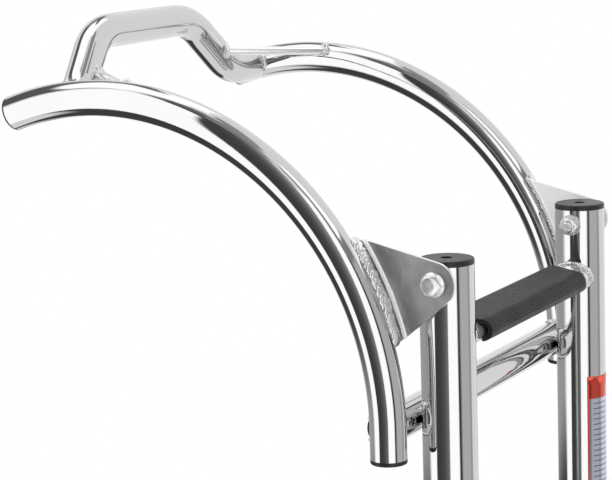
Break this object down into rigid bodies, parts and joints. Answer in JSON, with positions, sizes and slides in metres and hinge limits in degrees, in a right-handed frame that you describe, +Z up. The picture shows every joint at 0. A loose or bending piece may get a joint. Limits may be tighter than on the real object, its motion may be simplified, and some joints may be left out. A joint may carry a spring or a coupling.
{
  "type": "inflatable boat boarding ladder",
  "caption": "Folding stainless boarding ladder that hangs over an inflatable boat's side tube on two hooks, with a hand grip between them and black treads on the rungs.",
  "frame": {"origin": "under the crown of the two hooks, half way between them, where they rest on the boat's side tube", "axes": "+X away from the boat towards the climber, +Y to the climber's right when facing the boat, +Z up"},
  "size_m": [0.3504, 0.3522, 1.0326],
  "materials": {
    "polished_steel": "mirror-polished stainless steel tube",
    "plate_steel": "fine satin stainless steel plate",
    "fastener_steel": "bright stainless steel",
    "black_plastic": "semi-matt black moulded plastic"
  },
  "bodies": {
    "hook_frame": {"cross_bar": "polished_steel", "handle": "polished_steel", "left_handle_brace": "polished_steel", "left_heel_plug": "black_plastic", "left_hinge_plate": "plate_steel", "left_hook_arc": "polished_steel", "left_plate_weld": "polished_steel", "left_tip_plug": "black_plastic", "right_handle_brace": "polished_steel", "right_heel_plug": "black_plastic", "right_hinge_plate": "plate_steel", "right_hook_arc": "polished_steel", "right_plate_weld": "polished_steel", "right_tip_plug": "black_plastic"},
    "ladder": {"left_pivot_bolt": "fastener_steel", "left_pivot_nut": "fastener_steel", "left_pivot_washer": "fastener_steel", "left_stile": "polished_steel", "left_stile_cap": "black_plastic", "left_stile_foot": "black_plastic", "right_pivot_bolt": "fastener_steel", "right_pivot_nut": "fastener_steel", "right_pivot_washer": "fastener_steel", "right_stile": "polished_steel", "right_stile_cap": "black_plastic", "right_stile_foot": "black_plastic", "rung_1": "polished_steel", "rung_2": "polished_steel", "rung_3": "polished_steel", "rung_4": "polished_steel", "tread_1": "black_plastic", "tread_2": "black_plastic", "tread_3": "black_plastic", "tread_4": "black_plastic"}
  },
  "joints": [
    {"name": "ladder_fold", "type": "hinge", "parent": "hook_frame", "child": "ladder", "pos_m": [0.249, 0, -0.1091], "axis": [0, -1, 0], "range_deg": [0, 235]}
  ]
}
